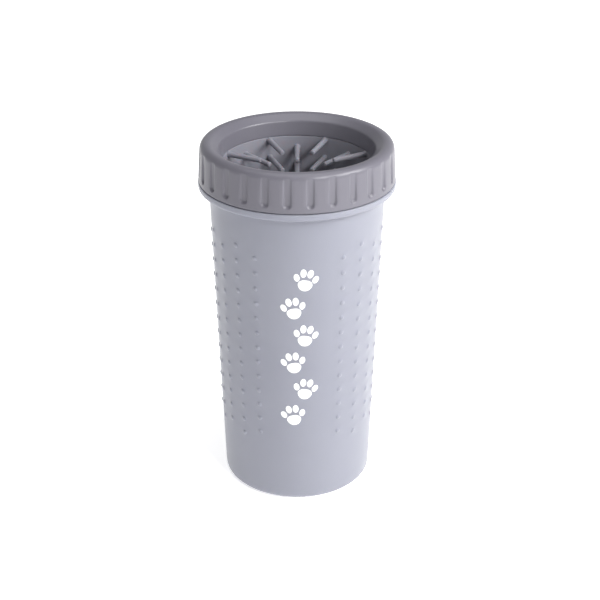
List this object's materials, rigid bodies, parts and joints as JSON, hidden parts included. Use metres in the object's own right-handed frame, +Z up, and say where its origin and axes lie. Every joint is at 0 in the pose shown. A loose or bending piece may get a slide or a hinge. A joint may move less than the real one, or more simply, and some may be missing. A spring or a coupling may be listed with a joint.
{
  "type": "paw washer cup",
  "caption": "Hand-held paw washer: tapered frosted cup with grip dots, screw-on open collar and a soft silicone sleeve lined with inward bristles that bend as a paw goes in.",
  "frame": {"origin": "centre of the foot, on the surface that the cup stands on", "axes": "+Z up along the cup's axis, towards the mouth; -Y is the front, where the printed marks are"},
  "size_m": [0.1182, 0.1182, 0.222],
  "materials": {
    "cup_plastic": "frosted translucent polypropylene",
    "lid_plastic": "satin",
    "silicone": "matte silicone"
  },
  "bodies": {
    "cup": {"cup": "cup_plastic"},
    "insert": {"insert_sleeve": "silicone", "bristle_row_05": "silicone", "bristle_row_06": "silicone", "bristle_row_07": "silicone", "bristle_row_08": "silicone", "bristle_row_09": "silicone", "bristle_row_10": "silicone", "bristle_row_11": "silicone", "bristle_row_12": "silicone", "bristle_row_13": "silicone", "bristle_row_14": "silicone", "bristle_row_15": "silicone", "bristle_row_16": "silicone"},
    "lid": {"lid_ring": "lid_plastic"},
    "bristle_1_1": {"bristle_1_1": "silicone"},
    "bristle_1_2": {"bristle_1_2": "silicone"},
    "bristle_1_3": {"bristle_1_3": "silicone"},
    "bristle_1_4": {"bristle_1_4": "silicone"},
    "bristle_1_5": {"bristle_1_5": "silicone"},
    "bristle_1_6": {"bristle_1_6": "silicone"},
    "bristle_1_7": {"bristle_1_7": "silicone"},
    "bristle_1_8": {"bristle_1_8": "silicone"},
    "bristle_2_1": {"bristle_2_1": "silicone"},
    "bristle_2_2": {"bristle_2_2": "silicone"},
    "bristle_2_3": {"bristle_2_3": "silicone"},
    "bristle_2_4": {"bristle_2_4": "silicone"},
    "bristle_2_5": {"bristle_2_5": "silicone"},
    "bristle_2_6": {"bristle_2_6": "silicone"},
    "bristle_2_7": {"bristle_2_7": "silicone"},
    "bristle_2_8": {"bristle_2_8": "silicone"},
    "bristle_3_1": {"bristle_3_1": "silicone"},
    "bristle_3_2": {"bristle_3_2": "silicone"},
    "bristle_3_3": {"bristle_3_3": "silicone"},
    "bristle_3_4": {"bristle_3_4": "silicone"},
    "bristle_3_5": {"bristle_3_5": "silicone"},
    "bristle_3_6": {"bristle_3_6": "silicone"},
    "bristle_3_7": {"bristle_3_7": "silicone"},
    "bristle_3_8": {"bristle_3_8": "silicone"},
    "bristle_4_1": {"bristle_4_1": "silicone"},
    "bristle_4_2": {"bristle_4_2": "silicone"},
    "bristle_4_3": {"bristle_4_3": "silicone"},
    "bristle_4_4": {"bristle_4_4": "silicone"},
    "bristle_4_5": {"bristle_4_5": "silicone"},
    "bristle_4_6": {"bristle_4_6": "silicone"},
    "bristle_4_7": {"bristle_4_7": "silicone"},
    "bristle_4_8": {"bristle_4_8": "silicone"}
  },
  "joints": [
    {"name": "lid_turn", "type": "hinge", "parent": "cup", "child": "insert", "pos_m": [0, 0, 0.2072], "axis": [0, 0, 1], "range_deg": [0, 360]},
    {"name": "lid_rise", "type": "slide", "parent": "insert", "child": "lid", "axis": [0, 0, 1], "range_m": [0, 0.024]},
    {"name": "bristle_1_1_bend", "type": "hinge", "parent": "insert", "child": "bristle_1_1", "pos_m": [-0.01644, 0.03969, 0.2072], "axis": [-0.9239, -0.3827, 0], "range_deg": [-40, 50], "stiffness_Nm_per_rad": 0.0012},
    {"name": "bristle_1_2_bend", "type": "hinge", "parent": "insert", "child": "bristle_1_2", "pos_m": [-0.03969, 0.01644, 0.2072], "axis": [-0.3827, -0.9239, 0], "range_deg": [-40, 50], "stiffness_Nm_per_rad": 0.0012},
    {"name": "bristle_1_3_bend", "type": "hinge", "parent": "insert", "child": "bristle_1_3", "pos_m": [-0.03969, -0.01644, 0.2072], "axis": [0.3827, -0.9239, 0], "range_deg": [-40, 50], "stiffness_Nm_per_rad": 0.0012},
    {"name": "bristle_1_4_bend", "type": "hinge", "parent": "insert", "child": "bristle_1_4", "pos_m": [-0.01644, -0.03969, 0.2072], "axis": [0.9239, -0.3827, 0], "range_deg": [-40, 50], "stiffness_Nm_per_rad": 0.0012},
    {"name": "bristle_1_5_bend", "type": "hinge", "parent": "insert", "child": "bristle_1_5", "pos_m": [0.01644, -0.03969, 0.2072], "axis": [0.9239, 0.3827, 0], "range_deg": [-40, 50], "stiffness_Nm_per_rad": 0.0012},
    {"name": "bristle_1_6_bend", "type": "hinge", "parent": "insert", "child": "bristle_1_6", "pos_m": [0.03969, -0.01644, 0.2072], "axis": [0.3827, 0.9239, 0], "range_deg": [-40, 50], "stiffness_Nm_per_rad": 0.0012},
    {"name": "bristle_1_7_bend", "type": "hinge", "parent": "insert", "child": "bristle_1_7", "pos_m": [0.03969, 0.01644, 0.2072], "axis": [-0.3827, 0.9239, 0], "range_deg": [-40, 50], "stiffness_Nm_per_rad": 0.0012},
    {"name": "bristle_1_8_bend", "type": "hinge", "parent": "insert", "child": "bristle_1_8", "pos_m": [0.01644, 0.03969, 0.2072], "axis": [-0.9239, 0.3827, 0], "range_deg": [-40, 50], "stiffness_Nm_per_rad": 0.0012},
    {"name": "bristle_2_1_bend", "type": "hinge", "parent": "insert", "child": "bristle_2_1", "pos_m": [0, 0.0427, 0.2017], "axis": [-1, 0, 0], "range_deg": [-30, 37.5], "stiffness_Nm_per_rad": 0.0012},
    {"name": "bristle_2_2_bend", "type": "hinge", "parent": "insert", "child": "bristle_2_2", "pos_m": [-0.03019, 0.03019, 0.2017], "axis": [-0.7071, -0.7071, 0], "range_deg": [-30, 37.5], "stiffness_Nm_per_rad": 0.0012},
    {"name": "bristle_2_3_bend", "type": "hinge", "parent": "insert", "child": "bristle_2_3", "pos_m": [-0.0427, 0, 0.2017], "axis": [0, -1, 0], "range_deg": [-30, 37.5], "stiffness_Nm_per_rad": 0.0012},
    {"name": "bristle_2_4_bend", "type": "hinge", "parent": "insert", "child": "bristle_2_4", "pos_m": [-0.03019, -0.03019, 0.2017], "axis": [0.7071, -0.7071, 0], "range_deg": [-30, 37.5], "stiffness_Nm_per_rad": 0.0012},
    {"name": "bristle_2_5_bend", "type": "hinge", "parent": "insert", "child": "bristle_2_5", "pos_m": [0, -0.0427, 0.2017], "axis": [1, 0, 0], "range_deg": [-30, 37.5], "stiffness_Nm_per_rad": 0.0012},
    {"name": "bristle_2_6_bend", "type": "hinge", "parent": "insert", "child": "bristle_2_6", "pos_m": [0.03019, -0.03019, 0.2017], "axis": [0.7071, 0.7071, 0], "range_deg": [-30, 37.5], "stiffness_Nm_per_rad": 0.0012},
    {"name": "bristle_2_7_bend", "type": "hinge", "parent": "insert", "child": "bristle_2_7", "pos_m": [0.0427, 0, 0.2017], "axis": [0, 1, 0], "range_deg": [-30, 37.5], "stiffness_Nm_per_rad": 0.0012},
    {"name": "bristle_2_8_bend", "type": "hinge", "parent": "insert", "child": "bristle_2_8", "pos_m": [0.03019, 0.03019, 0.2017], "axis": [-0.7071, 0.7071, 0], "range_deg": [-30, 37.5], "stiffness_Nm_per_rad": 0.0012},
    {"name": "bristle_3_1_bend", "type": "hinge", "parent": "insert", "child": "bristle_3_1", "pos_m": [-0.01624, 0.03922, 0.1962], "axis": [-0.9239, -0.3827, 0], "range_deg": [-20, 25], "stiffness_Nm_per_rad": 0.0012},
    {"name": "bristle_3_2_bend", "type": "hinge", "parent": "insert", "child": "bristle_3_2", "pos_m": [-0.03922, 0.01624, 0.1962], "axis": [-0.3827, -0.9239, 0], "range_deg": [-20, 25], "stiffness_Nm_per_rad": 0.0012},
    {"name": "bristle_3_3_bend", "type": "hinge", "parent": "insert", "child": "bristle_3_3", "pos_m": [-0.03922, -0.01624, 0.1962], "axis": [0.3827, -0.9239, 0], "range_deg": [-20, 25], "stiffness_Nm_per_rad": 0.0012},
    {"name": "bristle_3_4_bend", "type": "hinge", "parent": "insert", "child": "bristle_3_4", "pos_m": [-0.01624, -0.03922, 0.1962], "axis": [0.9239, -0.3827, 0], "range_deg": [-20, 25], "stiffness_Nm_per_rad": 0.0012},
    {"name": "bristle_3_5_bend", "type": "hinge", "parent": "insert", "child": "bristle_3_5", "pos_m": [0.01624, -0.03922, 0.1962], "axis": [0.9239, 0.3827, 0], "range_deg": [-20, 25], "stiffness_Nm_per_rad": 0.0012},
    {"name": "bristle_3_6_bend", "type": "hinge", "parent": "insert", "child": "bristle_3_6", "pos_m": [0.03922, -0.01624, 0.1962], "axis": [0.3827, 0.9239, 0], "range_deg": [-20, 25], "stiffness_Nm_per_rad": 0.0012},
    {"name": "bristle_3_7_bend", "type": "hinge", "parent": "insert", "child": "bristle_3_7", "pos_m": [0.03922, 0.01624, 0.1962], "axis": [-0.3827, 0.9239, 0], "range_deg": [-20, 25], "stiffness_Nm_per_rad": 0.0012},
    {"name": "bristle_3_8_bend", "type": "hinge", "parent": "insert", "child": "bristle_3_8", "pos_m": [0.01624, 0.03922, 0.1962], "axis": [-0.9239, 0.3827, 0], "range_deg": [-20, 25], "stiffness_Nm_per_rad": 0.0012},
    {"name": "bristle_4_1_bend", "type": "hinge", "parent": "insert", "child": "bristle_4_1", "pos_m": [0, 0.04219, 0.1907], "axis": [-1, 0, 0], "range_deg": [-10, 12.5], "stiffness_Nm_per_rad": 0.0012},
    {"name": "bristle_4_2_bend", "type": "hinge", "parent": "insert", "child": "bristle_4_2", "pos_m": [-0.02984, 0.02984, 0.1907], "axis": [-0.7071, -0.7071, 0], "range_deg": [-10, 12.5], "stiffness_Nm_per_rad": 0.0012},
    {"name": "bristle_4_3_bend", "type": "hinge", "parent": "insert", "child": "bristle_4_3", "pos_m": [-0.04219, 0, 0.1907], "axis": [0, -1, 0], "range_deg": [-10, 12.5], "stiffness_Nm_per_rad": 0.0012},
    {"name": "bristle_4_4_bend", "type": "hinge", "parent": "insert", "child": "bristle_4_4", "pos_m": [-0.02984, -0.02984, 0.1907], "axis": [0.7071, -0.7071, 0], "range_deg": [-10, 12.5], "stiffness_Nm_per_rad": 0.0012},
    {"name": "bristle_4_5_bend", "type": "hinge", "parent": "insert", "child": "bristle_4_5", "pos_m": [0, -0.04219, 0.1907], "axis": [1, 0, 0], "range_deg": [-10, 12.5], "stiffness_Nm_per_rad": 0.0012},
    {"name": "bristle_4_6_bend", "type": "hinge", "parent": "insert", "child": "bristle_4_6", "pos_m": [0.02984, -0.02984, 0.1907], "axis": [0.7071, 0.7071, 0], "range_deg": [-10, 12.5], "stiffness_Nm_per_rad": 0.0012},
    {"name": "bristle_4_7_bend", "type": "hinge", "parent": "insert", "child": "bristle_4_7", "pos_m": [0.04219, 0, 0.1907], "axis": [0, 1, 0], "range_deg": [-10, 12.5], "stiffness_Nm_per_rad": 0.0012},
    {"name": "bristle_4_8_bend", "type": "hinge", "parent": "insert", "child": "bristle_4_8", "pos_m": [0.02984, 0.02984, 0.1907], "axis": [-0.7071, 0.7071, 0], "range_deg": [-10, 12.5], "stiffness_Nm_per_rad": 0.0012}
  ],
  "couplings": [
    {"joint": "lid_rise", "follows": "lid_turn", "m_per_rad": 0.00382},
    {"joint": "bristle_1_2_bend", "follows": "bristle_1_1_bend", "ratio": 1},
    {"joint": "bristle_1_3_bend", "follows": "bristle_1_1_bend", "ratio": 1},
    {"joint": "bristle_1_4_bend", "follows": "bristle_1_1_bend", "ratio": 1},
    {"joint": "bristle_1_5_bend", "follows": "bristle_1_1_bend", "ratio": 1},
    {"joint": "bristle_1_6_bend", "follows": "bristle_1_1_bend", "ratio": 1},
    {"joint": "bristle_1_7_bend", "follows": "bristle_1_1_bend", "ratio": 1},
    {"joint": "bristle_1_8_bend", "follows": "bristle_1_1_bend", "ratio": 1},
    {"joint": "bristle_2_1_bend", "follows": "bristle_1_1_bend", "ratio": 0.75},
    {"joint": "bristle_2_2_bend", "follows": "bristle_1_1_bend", "ratio": 0.75},
    {"joint": "bristle_2_3_bend", "follows": "bristle_1_1_bend", "ratio": 0.75},
    {"joint": "bristle_2_4_bend", "follows": "bristle_1_1_bend", "ratio": 0.75},
    {"joint": "bristle_2_5_bend", "follows": "bristle_1_1_bend", "ratio": 0.75},
    {"joint": "bristle_2_6_bend", "follows": "bristle_1_1_bend", "ratio": 0.75},
    {"joint": "bristle_2_7_bend", "follows": "bristle_1_1_bend", "ratio": 0.75},
    {"joint": "bristle_2_8_bend", "follows": "bristle_1_1_bend", "ratio": 0.75},
    {"joint": "bristle_3_1_bend", "follows": "bristle_1_1_bend", "ratio": 0.5},
    {"joint": "bristle_3_2_bend", "follows": "bristle_1_1_bend", "ratio": 0.5},
    {"joint": "bristle_3_3_bend", "follows": "bristle_1_1_bend", "ratio": 0.5},
    {"joint": "bristle_3_4_bend", "follows": "bristle_1_1_bend", "ratio": 0.5},
    {"joint": "bristle_3_5_bend", "follows": "bristle_1_1_bend", "ratio": 0.5},
    {"joint": "bristle_3_6_bend", "follows": "bristle_1_1_bend", "ratio": 0.5},
    {"joint": "bristle_3_7_bend", "follows": "bristle_1_1_bend", "ratio": 0.5},
    {"joint": "bristle_3_8_bend", "follows": "bristle_1_1_bend", "ratio": 0.5},
    {"joint": "bristle_4_1_bend", "follows": "bristle_1_1_bend", "ratio": 0.25},
    {"joint": "bristle_4_2_bend", "follows": "bristle_1_1_bend", "ratio": 0.25},
    {"joint": "bristle_4_3_bend", "follows": "bristle_1_1_bend", "ratio": 0.25},
    {"joint": "bristle_4_4_bend", "follows": "bristle_1_1_bend", "ratio": 0.25},
    {"joint": "bristle_4_5_bend", "follows": "bristle_1_1_bend", "ratio": 0.25},
    {"joint": "bristle_4_6_bend", "follows": "bristle_1_1_bend", "ratio": 0.25},
    {"joint": "bristle_4_7_bend", "follows": "bristle_1_1_bend", "ratio": 0.25},
    {"joint": "bristle_4_8_bend", "follows": "bristle_1_1_bend", "ratio": 0.25}
  ]
}
